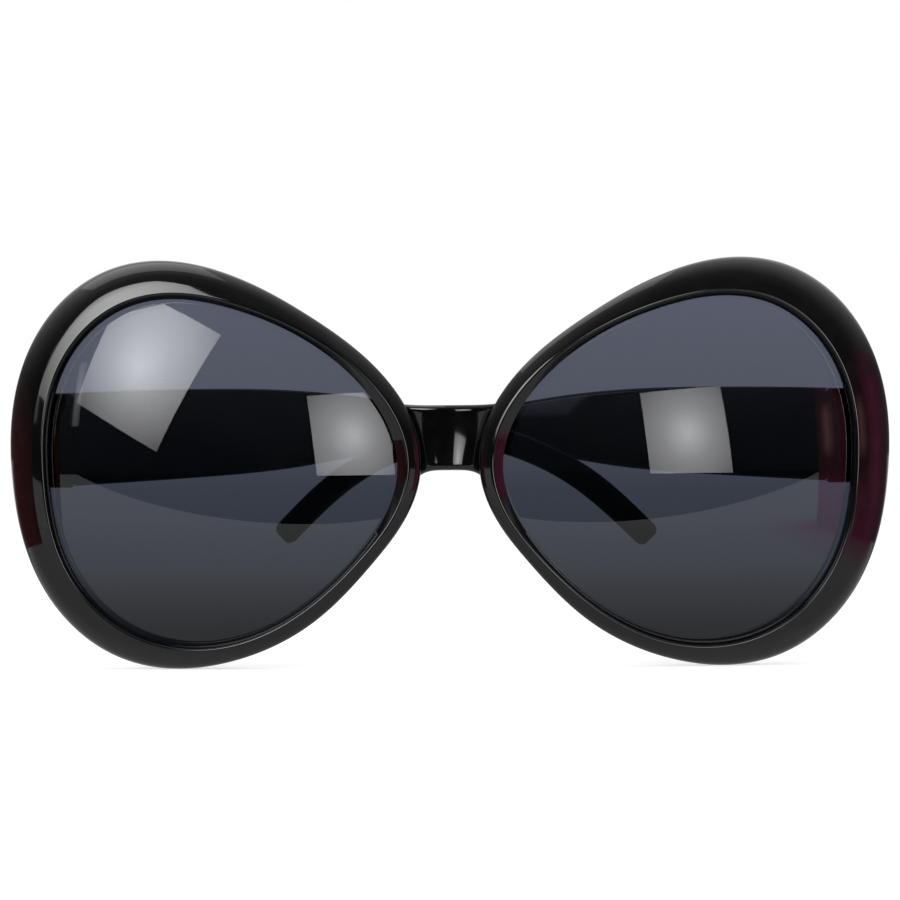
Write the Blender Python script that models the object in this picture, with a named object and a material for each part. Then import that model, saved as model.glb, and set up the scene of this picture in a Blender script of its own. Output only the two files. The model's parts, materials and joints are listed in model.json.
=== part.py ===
"""Oversized butterfly party glasses with their arms folded.

The glasses are modelled as they are worn: +Z up, the front faces -Y, and the arms
open towards +Y. Left and right are the wearer's, so left is +X. The origin is the
middle of the flat land on the back of the bridge. All sizes are in metres.
"""

import math

import bmesh
import bpy
import numpy as np
from mathutils import Matrix

# Lenses. The edge shares are the distances from a lens centre to its visible edge in
# twelve equal steps, from the outer side over the top to the nose and back below. The
# distance is between the two visible edges at the nose.
LENS_WIDTH = 0.0630
LENS_HEIGHT = 0.0630
LENS_THICKNESS = 0.0020
LENS_DOME_RADIUS = 0.110
LENS_DISTANCE = 0.0190
LENS_DROP = 0.0058
LENS_EDGE_SHARES = (1.0, 1.08, 1.09, 0.945, 0.885, 0.935, 1.0, 0.915, 0.9, 0.975, 1.045, 1.03)
WRAP_SHARE = 0.07

# Seating of each lens in the groove of its rim
SEAT_GAP = 0.0003
LENS_BITE = 0.0009

# Rims. The band, inset and lean shares go round in the same twelve steps. They give the
# band's width, how far the ridge stands outside the lens edge, and how steeply the face
# outside the ridge leans forward (back, below zero) before it rounds away to its edge.
RIM_BAND = 0.0072
RIM_BAND_SHARES = (1.0, 1.09, 1.13, 0.88, 0.58, 0.6, 0.59, 0.43, 0.48, 0.54, 0.8, 0.92)
RIM_LIP_WALL = 0.0006
RIM_BACK_WALL = 0.0013
RIM_BACK_ROUND = 0.0014
RIM_BACK_CHAMFER = 0.0005
RIDGE_INSET = 0.0013
RIDGE_INSET_SHARES = (1.0, 1.0, 1.0, 1.0, 1.0, 1.4, 1.6, 1.0, 0.9, 1.0, 1.0, 1.0)
RIDGE_RISE = 0.0018
RIDGE_ROUND = 0.0005
FACE_LEAN_SHARES = (0.12, 0.12, 0.15, 0.04, -0.2, -0.3, -0.2, -0.2, -0.1, 0.05, 0.1, 0.12)
FACE_FALL_SHARE = 0.6
FACE_ROUNDING_POWER = 0.66

# Bridge, a saddle that runs into both rims
BRIDGE_HEIGHT = 0.0117
BRIDGE_THICKNESS = 0.0050
BRIDGE_END_WALL = 0.0001
BRIDGE_CROWN_RADIUS = 0.0140
BRIDGE_HOLLOW_RADIUS = 0.0600
BRIDGE_FLARE = 0.0013
BRIDGE_END_DROP = 0.0008
BRIDGE_EDGE_ROUND = 0.0009
BRIDGE_BACK_RELIEF = 0.0006
BRIDGE_SLANT_SHARE = 0.25
BRIDGE_LAND_SHARE = 0.5

# Moulded nose pads on the back of the rims
PAD_LENGTH = 0.0130
PAD_WIDTH = 0.0030
PAD_DEPTH = 0.0052
PAD_SINK_SHARE = 0.5
PAD_DIRECTION = math.radians(209)

# End blocks behind the outer ends of the rims, which carry the hinges
BLOCK_LAND_Y = 0.0077
BLOCK_COVER_SHARE = 0.7
BLOCK_EDGE_ROUND = 0.0007
BLOCK_MARGIN = 0.0004

# Hinges. Each stands this far outside the edge of its lens.
HINGE_OUTSIDE_LENS = 0.0019
HINGE_HEIGHT = 0.0070
KNUCKLE_RADIUS = 0.00135
KNUCKLE_GAP = 0.0002
LEAF_THICKNESS = 0.0008
LEAF_LENGTH = 0.0040
PIN_RADIUS = 0.00055
PIN_CLEARANCE = 0.00015
PIN_HEAD_RADIUS = 0.0011
PIN_HEAD_HEIGHT = 0.0007
PIN_SLOT_WIDTH = 0.0004
PIN_SLOT_DEPTH = 0.0003

# Countersunk screws that hold the leaves
LEAF_SCREW_RADIUS = 0.00045
LEAF_SCREW_LENGTH = 0.0030
LEAF_SCREW_HEAD_RADIUS = 0.00085
LEAF_SCREW_HEAD_HEIGHT = 0.0004
LEAF_SCREW_CLEARANCE = 0.00012
LEAF_SCREW_SPREAD = 0.0040
LEAF_SCREW_POINT_LENGTH = 0.0004
LEAF_SCREW_POINT_RADIUS = 0.00015

# Arms. The rise shares place the arm's middle line above the hinge's middle as shares
# of the drop, and the height shares are its heights, in ten equal steps from the hinge.
ARM_REACH = 0.1109
ARM_DROP = 0.0185
ARM_HEIGHT = 0.0171
ARM_THICKNESS = 0.0028
ARM_TIP_THICKNESS = 0.0024
ARM_CROWN = 0.00035
ARM_EDGE_ROUND = 0.0007
ARM_TIP_ROUND = 0.0012
ARM_RISE_SHARES = (0.0, 0.03, 0.054, 0.076, 0.098, 0.121, 0.119, 0.062, -0.118, -0.449, -1.0)
ARM_HEIGHT_SHARES = (1.0, 0.99, 0.965, 0.925, 0.84, 0.67, 0.465, 0.315, 0.26, 0.275, 0.27)
ARM_EDGE_LIMIT_SHARE = 0.33

# How far each arm is folded in: its angle from lying straight across the back
LEFT_FOLD = math.radians(14)
RIGHT_FOLD = math.radians(-4)

# Facets
RIM_STATIONS = 64
RIDGE_STEPS = 2
FACE_STEPS = 6
BACK_ROUND_STEPS = 3
LENS_RINGS = 4
BRIDGE_STATIONS = 14
BRIDGE_FACE_STEPS = 6
CORNER_STEPS = 2
PAD_SIDES = 14
PAD_RINGS = 10
ARM_STATIONS = 36
KNUCKLE_SIDES = 20
SCREW_SIDES = 12

CUT_OVERRUN = 0.0010
SMOOTH_BELOW = math.radians(35)
SIDES = {"left": 1, "right": -1}
FOLDS = {"left": LEFT_FOLD, "right": RIGHT_FOLD}

# Places that follow from the sizes above
LENS_X = (LENS_WIDTH + LENS_DISTANCE) / 2
GROOVE_FRONT = -SEAT_GAP
GROOVE_BACK = LENS_THICKNESS + SEAT_GAP
GROOVE_DEPTH = LENS_BITE + SEAT_GAP
BRIDGE_HALF_WIDTH = LENS_DISTANCE / 2 - GROOVE_DEPTH - BRIDGE_END_WALL
LIP_FRONT = GROOVE_FRONT - RIM_LIP_WALL
CREST_FRONT = LIP_FRONT - RIDGE_RISE
RIM_BACK = GROOVE_BACK + RIM_BACK_WALL
STAND_OFF = KNUCKLE_RADIUS + SEAT_GAP
LEAF_START = KNUCKLE_RADIUS + SEAT_GAP
LEAF_INNER = KNUCKLE_RADIUS - LEAF_THICKNESS
LEAF_END = LEAF_START + LEAF_LENGTH
HINGE_X = LENS_X + LENS_WIDTH / 2 + HINGE_OUTSIDE_LENS
HINGE_Y = BLOCK_LAND_Y + STAND_OFF
KNUCKLE_HEIGHT = (HINGE_HEIGHT - 2 * KNUCKLE_GAP) / 3


def smooth_loop(values):
    """Return a smooth closed function through values that are spaced evenly round a turn."""
    values = np.array(values)
    count = len(values)
    one_on = np.roll(np.eye(count), 1, axis=1)
    steps = np.roll(values, 1) - 2 * values + np.roll(values, -1)
    bends = np.linalg.solve(4 * np.eye(count) + one_on + one_on.T, 6 * steps)

    def value(angle):
        place = angle / math.tau * count
        start = math.floor(place)
        after = place - start
        before = 1 - after
        low = start % count
        high = (start + 1) % count
        straight = before * values[low] + after * values[high]
        curved = (before**3 - before) * bends[low] + (after**3 - after) * bends[high]
        return straight + curved / 6

    return value


def smooth_line(values):
    """Return a smooth function of 0 to 1 through values that are spaced evenly along it."""
    values = np.array(values)
    last = len(values) - 1
    inner = last - 1
    neighbours = np.eye(inner, k=1) + np.eye(inner, k=-1)
    steps = values[:-2] - 2 * values[1:-1] + values[2:]
    bends = np.zeros(len(values))
    bends[1:-1] = np.linalg.solve(4 * np.eye(inner) + neighbours, 6 * steps)

    def value(share):
        place = share * last
        low = min(max(math.floor(place), 0), last - 1)
        after = place - low
        before = 1 - after
        straight = before * values[low] + after * values[low + 1]
        curved = (before**3 - before) * bends[low] + (after**3 - after) * bends[low + 1]
        return straight + curved / 6

    return value


lens_edge_share = smooth_loop(LENS_EDGE_SHARES)
rim_band_share = smooth_loop(RIM_BAND_SHARES)
ridge_inset_share = smooth_loop(RIDGE_INSET_SHARES)
face_lean_share = smooth_loop(FACE_LEAN_SHARES)
arm_rise_share = smooth_line(ARM_RISE_SHARES)
arm_height_share = smooth_line(ARM_HEIGHT_SHARES)


def rim_band(angle):
    return RIM_BAND * rim_band_share(angle)


def dome_depth(across, up):
    """How far the dome and the wrap set the lens face back, away from the lens centre."""
    radius = math.hypot(across, up)
    dome = LENS_DOME_RADIUS - math.sqrt(LENS_DOME_RADIUS**2 - radius**2)
    return dome + WRAP_SHARE * across


def lens_edge_point(angle, outwards):
    """A place in the plane of a lens, so far outside its visible edge."""
    share = lens_edge_share(angle)
    across = math.cos(angle) * (share * LENS_WIDTH / 2 + outwards)
    up = math.sin(angle) * (share * LENS_HEIGHT / 2 + outwards)
    return across, up


NOSE_EDGE = lens_edge_point(math.pi, rim_band(math.pi))
LENS_FACE_Y = -(dome_depth(*NOSE_EDGE) + RIM_BACK)
OUTER_GROOVE = lens_edge_point(0, GROOVE_DEPTH)
OUTER_GROOVE_BACK_Y = LENS_FACE_Y + dome_depth(*OUTER_GROOVE) + GROOVE_BACK
BLOCK_FRONT_Y = OUTER_GROOVE_BACK_Y + RIM_BACK_WALL * BLOCK_COVER_SHARE


def front_point(side, across, up, back):
    """A world place on the front: across and up from a lens centre, back from its face."""
    depth = LENS_FACE_Y + dome_depth(across, up) + back
    return side * (LENS_X + across), depth, up - LENS_DROP


def material(name, colour, roughness, metallic=0.0, transmission=0.0):
    made = bpy.data.materials.new(name)
    made.use_nodes = True
    shader = made.node_tree.nodes["Principled BSDF"]
    shader.inputs["Base Color"].default_value = (*colour, 1.0)
    shader.inputs["Roughness"].default_value = roughness
    shader.inputs["Metallic"].default_value = metallic
    shader.inputs["Transmission Weight"].default_value = transmission
    made.diffuse_color = (*colour, 1.0)
    return made


def finish_object(name, body, look=None):
    """Make an object from a bmesh, with its faces pointing out and round places smooth."""
    bmesh.ops.recalc_face_normals(body, faces=body.faces)
    if body.calc_volume(signed=True) < 0:
        bmesh.ops.reverse_faces(body, faces=body.faces)
    mesh = bpy.data.meshes.new(name)
    body.to_mesh(mesh)
    body.free()
    made = bpy.data.objects.new(name, mesh)
    bpy.context.scene.collection.objects.link(made)
    if look:
        mesh.materials.append(look)
    return made


def smooth_round_places(made):
    made.data.shade_smooth()
    made.data.set_sharp_from_angle(angle=SMOOTH_BELOW)


def add_ring(body, points):
    return [body.verts.new(point) for point in points]


def join_rings(body, first, second):
    count = len(first)
    for here in range(count):
        after = (here + 1) % count
        body.faces.new((first[here], first[after], second[after], second[here]))


def lofted(name, rings, closed, look=None):
    """Skin a row of rings, either round into itself or with a cap on each end."""
    body = bmesh.new()
    made_rings = [add_ring(body, points) for points in rings]
    for first, second in zip(made_rings, made_rings[1:]):
        join_rings(body, first, second)
    if closed:
        join_rings(body, made_rings[-1], made_rings[0])
    else:
        body.faces.new(made_rings[0])
        body.faces.new(made_rings[-1])
    return finish_object(name, body, look)


def boxed(name, low, high, look=None):
    """A plain block between two corners."""
    (x0, y0, z0), (x1, y1, z1) = low, high
    rings = [[(x0, y0, z), (x1, y0, z), (x1, y1, z), (x0, y1, z)] for z in (z0, z1)]
    return lofted(name, rings, closed=False, look=look)


def turned(name, profile, sides, place=None, look=None):
    """Spin (radius, height) points about Z, with a cap on each end."""
    body = bmesh.new()
    made_rings = []
    for radius, height in profile:
        angles = [math.tau * step / sides for step in range(sides)]
        ring = [(radius * math.cos(a), radius * math.sin(a), height) for a in angles]
        made_rings.append(add_ring(body, ring))
    for first, second in zip(made_rings, made_rings[1:]):
        join_rings(body, first, second)
    body.faces.new(made_rings[0])
    body.faces.new(made_rings[-1])
    if place:
        bmesh.ops.transform(body, matrix=place, verts=body.verts)
    return finish_object(name, body, look)


def combine(target, tool, operation):
    """Join a tool to the target or cut it away, and remove the tool."""
    step = target.modifiers.new(operation, "BOOLEAN")
    step.operation = operation
    step.solver = "EXACT"
    step.object = tool
    graph = bpy.context.evaluated_depsgraph_get()
    mesh = bpy.data.meshes.new_from_object(target.evaluated_get(graph))
    target.modifiers.clear()
    target.data = mesh
    bpy.data.objects.remove(tool)


def rim_section(place):
    """The rim's cross-section: (outwards from the lens edge, back from the lens face)."""
    band = rim_band(place)
    inset = RIDGE_INSET * ridge_inset_share(place)
    lean = face_lean_share(place)
    bevel_angle = math.atan2(RIDGE_RISE, inset)
    section = [(0, GROOVE_FRONT), (0, LIP_FRONT)]
    for step in range(RIDGE_STEPS + 1):
        angle = bevel_angle * (1 - step / RIDGE_STEPS)
        outwards = inset - RIDGE_ROUND * math.sin(angle)
        section.append((outwards, CREST_FRONT + RIDGE_ROUND * (1 - math.cos(angle))))
    face = band - inset
    for step in range(1, FACE_STEPS + 1):
        angle = math.pi / 2 * step / FACE_STEPS
        along = face * math.sin(angle)**FACE_ROUNDING_POWER
        rounding = face * (1 - max(0, math.cos(angle))**FACE_ROUNDING_POWER)
        back = (FACE_FALL_SHARE + lean) * rounding - lean * along
        section.append((inset + along, CREST_FRONT + back))
    edge_back = CREST_FRONT + FACE_FALL_SHARE * face
    for step in range(1, BACK_ROUND_STEPS + 1):
        angle = math.pi / 2 * step / BACK_ROUND_STEPS
        outwards = band - RIM_BACK_ROUND * (1 - math.cos(angle))
        section.append((outwards, edge_back + (RIM_BACK - edge_back) * math.sin(angle)))
    section.append((RIM_BACK_CHAMFER, RIM_BACK))
    section.append((0, RIM_BACK - RIM_BACK_CHAMFER))
    section.append((0, GROOVE_BACK))
    section.append((GROOVE_DEPTH, GROOVE_BACK))
    section.append((GROOVE_DEPTH, GROOVE_FRONT))
    return section


def rim(side, look=None):
    """One rim: its section carried round the lens, with the groove that holds the lens."""
    rings = []
    for station in range(RIM_STATIONS):
        angle = math.tau * station / RIM_STATIONS
        ring = []
        for outwards, back in rim_section(angle):
            across, up = lens_edge_point(angle, outwards)
            ring.append(front_point(side, across, up, back))
        rings.append(ring)
    return lofted("rim", rings, closed=True, look=look)


def bridge():
    """The saddle between the rims: crowned across, hollow from top to bottom, flat behind."""
    rings = []
    for station in range(BRIDGE_STATIONS + 1):
        share = 2 * station / BRIDGE_STATIONS - 1
        half_height = BRIDGE_HEIGHT / 2 + BRIDGE_FLARE * share**4
        drop = BRIDGE_END_DROP * share**4
        straight = half_height - BRIDGE_EDGE_ROUND
        centre_x = share * BRIDGE_HALF_WIDTH
        front = centre_x**2 / (2 * BRIDGE_CROWN_RADIUS) - BRIDGE_THICKNESS
        beyond_land = max(0.0, (abs(share) - BRIDGE_LAND_SHARE) / (1 - BRIDGE_LAND_SHARE))
        back = -BRIDGE_BACK_RELIEF * beyond_land**2
        outline = []
        for step in range(BRIDGE_FACE_STEPS + 1):
            up = straight * (2 * step / BRIDGE_FACE_STEPS - 1)
            outline.append((front - up**2 / (2 * BRIDGE_HOLLOW_RADIUS), up))
        edge_front = outline[-1][0]
        for step in range(1, CORNER_STEPS + 1):
            angle = math.pi / 2 * step / CORNER_STEPS
            rounding = BRIDGE_EDGE_ROUND * (1 - math.cos(angle))
            up = straight + BRIDGE_EDGE_ROUND * math.sin(angle)
            outline.append((edge_front + rounding, up))
        for step in range(CORNER_STEPS + 1):
            angle = math.pi / 2 * step / CORNER_STEPS
            rounding = BRIDGE_EDGE_ROUND * (1 - math.sin(angle))
            up = straight + BRIDGE_EDGE_ROUND * math.cos(angle)
            outline.append((back - rounding, up))
        lower = [(y, -z) for y, z in reversed(outline[BRIDGE_FACE_STEPS + 1:])]
        ring = []
        for y, z in outline + lower:
            across = share * (BRIDGE_HALF_WIDTH + BRIDGE_SLANT_SHARE * z)
            ring.append((across, y, z - drop))
        rings.append(ring)
    return lofted("bridge", rings, closed=False)


def nose_pad(side):
    """A moulded pad, half sunk in the back of the rim beside the nose."""
    across, up = lens_edge_point(PAD_DIRECTION, rim_band(PAD_DIRECTION) / 2)
    centre = front_point(side, across, up, RIM_BACK)
    facet = math.tau / RIM_STATIONS
    ahead = lens_edge_point(PAD_DIRECTION + facet, 0)
    behind = lens_edge_point(PAD_DIRECTION - facet, 0)
    lean = math.atan2(side * (ahead[0] - behind[0]), ahead[1] - behind[1])
    body = bmesh.new()
    bmesh.ops.create_uvsphere(body, u_segments=PAD_SIDES, v_segments=PAD_RINGS, radius=1)
    for vert in body.verts:
        vert.co.x *= PAD_WIDTH / 2
        vert.co.y *= PAD_DEPTH if vert.co.y > 0 else RIM_BACK_WALL * PAD_SINK_SHARE
        vert.co.z *= PAD_LENGTH / 2
    place = Matrix.Translation(centre) @ Matrix.Rotation(lean, 4, "Y")
    bmesh.ops.transform(body, matrix=place, verts=body.verts)
    return finish_object("nose pad", body)


def end_block(side):
    """The block behind a rim's outer end: it carries the hinge, and the arm butts on it."""
    inner_x = HINGE_X - LEAF_END - BLOCK_MARGIN
    outer_x = HINGE_X + STAND_OFF + ARM_THICKNESS
    xs = sorted((side * inner_x, side * outer_x))
    low = (xs[0], BLOCK_FRONT_Y, -ARM_HEIGHT / 2)
    high = (xs[1], BLOCK_LAND_Y, ARM_HEIGHT / 2)
    made = boxed("end block", low, high)
    bevel = made.modifiers.new("rounded edges", "BEVEL")
    bevel.width = BLOCK_EDGE_ROUND
    bevel.segments = 2
    graph = bpy.context.evaluated_depsgraph_get()
    made.data = bpy.data.meshes.new_from_object(made.evaluated_get(graph))
    made.modifiers.clear()
    return made


def leaf_screw_places():
    """Where a leaf's two screws go: (along the leaf, up)."""
    along = LEAF_START + LEAF_LENGTH / 2
    return {"upper": (along, LEAF_SCREW_SPREAD / 2), "lower": (along, -LEAF_SCREW_SPREAD / 2)}


def leaf_screw_turn(side, facing, along, up):
    """Turn +Z into a screw's direction, from the hinge's side of a leaf into the plastic."""
    quarter = Matrix.Rotation(-facing * math.pi / 2, 4, "X")
    return Matrix.Translation((-side * along, facing * LEAF_INNER, up)) @ quarter


def pilot_hole(side, facing, along, up):
    """The blind hole in the plastic for a leaf's screw."""
    radius = LEAF_SCREW_RADIUS + LEAF_SCREW_CLEARANCE
    profile = [(radius, 0), (radius, LEAF_SCREW_LENGTH + LEAF_SCREW_CLEARANCE)]
    return turned("pilot hole", profile, SCREW_SIDES, leaf_screw_turn(side, facing, along, up))


def front_frame(look):
    """The one-piece moulded front: rims, bridge, nose pads and end blocks."""
    made = rim(SIDES["left"], look)
    combine(made, rim(SIDES["right"]), "UNION")
    combine(made, bridge(), "UNION")
    for side in SIDES.values():
        combine(made, nose_pad(side), "UNION")
        combine(made, end_block(side), "UNION")
        for along, up in leaf_screw_places().values():
            hole = pilot_hole(side, -1, along, up)
            hole.location = (side * HINGE_X, HINGE_Y, 0)
            bpy.context.view_layer.update()
            combine(made, hole, "DIFFERENCE")
    made.name = "front_frame"
    smooth_round_places(made)


def lens(name, side, look):
    """A domed lens whose edge reaches into the rim's groove."""
    body = bmesh.new()
    faces = {}
    for back in (0, LENS_THICKNESS):
        centre = body.verts.new(front_point(side, 0, 0, back))
        rings = []
        for step in range(1, LENS_RINGS + 1):
            points = []
            for station in range(RIM_STATIONS):
                across, up = lens_edge_point(math.tau * station / RIM_STATIONS, LENS_BITE)
                share = step / LENS_RINGS
                points.append(front_point(side, share * across, share * up, back))
            rings.append(add_ring(body, points))
        for here in range(RIM_STATIONS):
            body.faces.new((centre, rings[0][here], rings[0][(here + 1) % RIM_STATIONS]))
        for first, second in zip(rings, rings[1:]):
            join_rings(body, first, second)
        faces[back] = rings[-1]
    join_rings(body, faces[0], faces[LENS_THICKNESS])
    smooth_round_places(finish_object(name, body, look))


def arm_section(half_height, thickness):
    """The arm's cross-section: (up, out from its inner face), with a crowned outer face."""
    edge = min(ARM_EDGE_ROUND, half_height / 2, thickness * ARM_EDGE_LIMIT_SHARE)
    outer_edge = thickness - ARM_CROWN
    points = []
    for step in range(CORNER_STEPS + 1):
        angle = math.pi / 2 * step / CORNER_STEPS
        up = half_height - edge * (1 - math.sin(angle))
        points.append((up, edge * (1 - math.cos(angle))))
    for step in range(CORNER_STEPS + 1):
        angle = math.pi / 2 * step / CORNER_STEPS
        up = half_height - edge * (1 - math.cos(angle))
        points.append((up, outer_edge - edge * (1 - math.sin(angle))))
    crown = []
    for share in (0.5, 0, -0.5):
        crown.append((half_height * share, thickness - ARM_CROWN * share**2))
    return points + crown + [(-up, out) for up, out in reversed(points)]


def arm_stations():
    """Where the arm's sections stand, (along, drawn in), with its end rounded off."""
    root = -(STAND_OFF - SEAT_GAP)
    tip_start = ARM_REACH - ARM_TIP_ROUND
    stations = []
    for step in range(ARM_STATIONS + 1):
        stations.append((root + (tip_start - root) * step / ARM_STATIONS, 0))
    for step in range(1, BACK_ROUND_STEPS + 1):
        angle = math.pi / 2 * step / BACK_ROUND_STEPS
        drawn_in = ARM_TIP_ROUND * (1 - math.cos(angle))
        stations.append((tip_start + ARM_TIP_ROUND * math.sin(angle), drawn_in))
    return stations


def arm(name, side, hinge, look):
    """An arm: deep at the hinge, narrow at the ear, with its end bent down."""
    step_share = 1 / ARM_STATIONS
    rings = []
    for along, drawn_in in arm_stations():
        share = max(0, along) / ARM_REACH
        before = max(0, share - step_share)
        after = share + step_share
        rise = ARM_DROP * arm_rise_share(share)
        climb = ARM_DROP * (arm_rise_share(after) - arm_rise_share(before))
        slope = math.atan(climb / (ARM_REACH * (after - before))) if along > 0 else 0
        half_height = ARM_HEIGHT / 2 * arm_height_share(share) - drawn_in
        flat_thickness = ARM_THICKNESS - (ARM_THICKNESS - ARM_TIP_THICKNESS) * share
        thickness = flat_thickness - min(drawn_in, flat_thickness / 2)
        inner_face = STAND_OFF + (ARM_THICKNESS - thickness) / 2
        ring = []
        for up, out in arm_section(half_height, thickness):
            x = along - up * math.sin(slope)
            ring.append((-side * x, inner_face + out, rise + up * math.cos(slope)))
        rings.append(ring)
    made = lofted(name, rings, closed=False, look=look)
    for screw_along, screw_up in leaf_screw_places().values():
        combine(made, pilot_hole(side, 1, screw_along, screw_up), "DIFFERENCE")
    smooth_round_places(made)
    made.parent = hinge


def knuckle_outline(facing, side):
    """A leaf seen along the pin: a barrel with the leaf running off its edge."""
    start = math.asin(LEAF_INNER / KNUCKLE_RADIUS)
    turn = math.tau - (math.pi / 2 - start)
    outline = [(LEAF_END, LEAF_INNER)]
    for step in range(KNUCKLE_SIDES + 1):
        angle = start - turn * step / KNUCKLE_SIDES
        outline.append((KNUCKLE_RADIUS * math.cos(angle), KNUCKLE_RADIUS * math.sin(angle)))
    outline.append((LEAF_END, KNUCKLE_RADIUS))
    return [(-side * along, facing * out) for along, out in outline]


def hinge_leaf(name, side, facing, notches, hinge, look):
    """One half of a hinge: a plate with barrels, cut out where the other half's barrels run."""
    half = HINGE_HEIGHT / 2
    outline = knuckle_outline(facing, side)
    rings = [[(x, y, z) for x, y in outline] for z in (-half, half)]
    made = lofted(name, rings, closed=False, look=look)
    for low_z, high_z in notches:
        xs = sorted((side * (KNUCKLE_RADIUS + CUT_OVERRUN), -side * LEAF_START))
        reach = KNUCKLE_RADIUS + CUT_OVERRUN
        combine(made, boxed("notch", (xs[0], -reach, low_z), (xs[1], reach, high_z)), "DIFFERENCE")
    bore = PIN_RADIUS + PIN_CLEARANCE
    over = half + CUT_OVERRUN
    combine(made, turned("bore", [(bore, -over), (bore, over)], SCREW_SIDES), "DIFFERENCE")
    radius = LEAF_SCREW_RADIUS + LEAF_SCREW_CLEARANCE
    head = LEAF_SCREW_HEAD_RADIUS + LEAF_SCREW_CLEARANCE
    countersink = [
        (head, -CUT_OVERRUN),
        (head, 0),
        (radius, LEAF_SCREW_HEAD_HEIGHT),
        (radius, LEAF_THICKNESS + CUT_OVERRUN),
    ]
    for along, up in leaf_screw_places().values():
        place = leaf_screw_turn(side, facing, along, up)
        combine(made, turned("countersink", countersink, SCREW_SIDES, place), "DIFFERENCE")
    smooth_round_places(made)
    made.parent = hinge


def leaf_screw(name, side, facing, along, up, hinge, look):
    """A small countersunk screw with a pointed tip."""
    profile = [
        (LEAF_SCREW_HEAD_RADIUS, LEAF_SCREW_CLEARANCE),
        (LEAF_SCREW_RADIUS, LEAF_SCREW_HEAD_HEIGHT + LEAF_SCREW_CLEARANCE),
        (LEAF_SCREW_RADIUS, LEAF_SCREW_LENGTH - LEAF_SCREW_POINT_LENGTH),
        (LEAF_SCREW_POINT_RADIUS, LEAF_SCREW_LENGTH),
    ]
    made = turned(name, profile, SCREW_SIDES, leaf_screw_turn(side, facing, along, up), look)
    smooth_round_places(made)
    made.parent = hinge


def hinge_screw(name, hinge, look):
    """The screw that pins the two leaves, with a slotted head on top."""
    half = HINGE_HEIGHT / 2
    head_low = half + PIN_CLEARANCE
    head_high = head_low + PIN_HEAD_HEIGHT
    profile = [
        (PIN_RADIUS, -half),
        (PIN_RADIUS, head_low),
        (PIN_HEAD_RADIUS, head_low),
        (PIN_HEAD_RADIUS, head_high - PIN_SLOT_DEPTH / 2),
        (PIN_HEAD_RADIUS - PIN_SLOT_DEPTH / 2, head_high),
    ]
    made = turned(name, profile, SCREW_SIDES, look=look)
    reach = PIN_HEAD_RADIUS + CUT_OVERRUN
    low = (-reach, -PIN_SLOT_WIDTH / 2, head_high - PIN_SLOT_DEPTH)
    high = (reach, PIN_SLOT_WIDTH / 2, head_high + CUT_OVERRUN)
    combine(made, boxed("slot", low, high), "DIFFERENCE")
    smooth_round_places(made)
    made.parent = hinge


def hinge_empty(name, side, turn):
    """An empty on a hinge's axis, which carries what is built round that axis."""
    made = bpy.data.objects.new(name, None)
    made.location = (side * HINGE_X, HINGE_Y, 0)
    made.rotation_euler = (0, 0, turn)
    bpy.context.scene.collection.objects.link(made)
    return made


def hinge_and_arm(word, looks):
    """One side's hinge, its screws and its arm."""
    side = SIDES[word]
    fixed = hinge_empty(f"{word}_hinge_axis", side, 0)
    moving = hinge_empty(f"{word}_arm_axis", side, -side * FOLDS[word])
    middle = KNUCKLE_HEIGHT / 2
    top = HINGE_HEIGHT / 2 + CUT_OVERRUN
    arm(f"{word}_temple", side, moving, looks["arm"])
    outer_notches = [(middle, top), (-top, -middle)]
    middle_notch = [(-middle - KNUCKLE_GAP, middle + KNUCKLE_GAP)]
    hinge_leaf(f"{word}_front_hinge", side, -1, middle_notch, fixed, looks["hinge"])
    hinge_leaf(f"{word}_temple_hinge", side, 1, outer_notches, moving, looks["hinge"])
    hinge_screw(f"{word}_hinge_screw", fixed, looks["screw"])
    for place, (along, up) in leaf_screw_places().items():
        leaf_screw(f"{word}_front_screw_{place}", side, -1, along, up, fixed, looks["screw"])
        leaf_screw(f"{word}_temple_screw_{place}", side, 1, along, up, moving, looks["screw"])


def build():
    for old in list(bpy.data.objects):
        bpy.data.objects.remove(old)
    looks = {
        "front": material("glossy black front", (0.010, 0.010, 0.012), 0.10),
        "arm": material("glossy black arms", (0.011, 0.011, 0.013), 0.16),
        "lens": material("smoke lens", (0.085, 0.092, 0.115), 0.04, transmission=0.7),
        "hinge": material("nickel hinge", (0.42, 0.41, 0.40), 0.30, metallic=1.0),
        "screw": material("steel screw", (0.52, 0.51, 0.50), 0.28, metallic=1.0),
    }
    front_frame(looks["front"])
    for word, side in SIDES.items():
        lens(f"{word}_lens", side, looks["lens"])
        hinge_and_arm(word, looks)


build()
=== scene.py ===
"""Oversized glossy black party glasses with smoke lenses, arms folded, on a pale floor."""

import json
import math

import bmesh
import bpy
import numpy as np
from mathutils import Matrix, Vector


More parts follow.
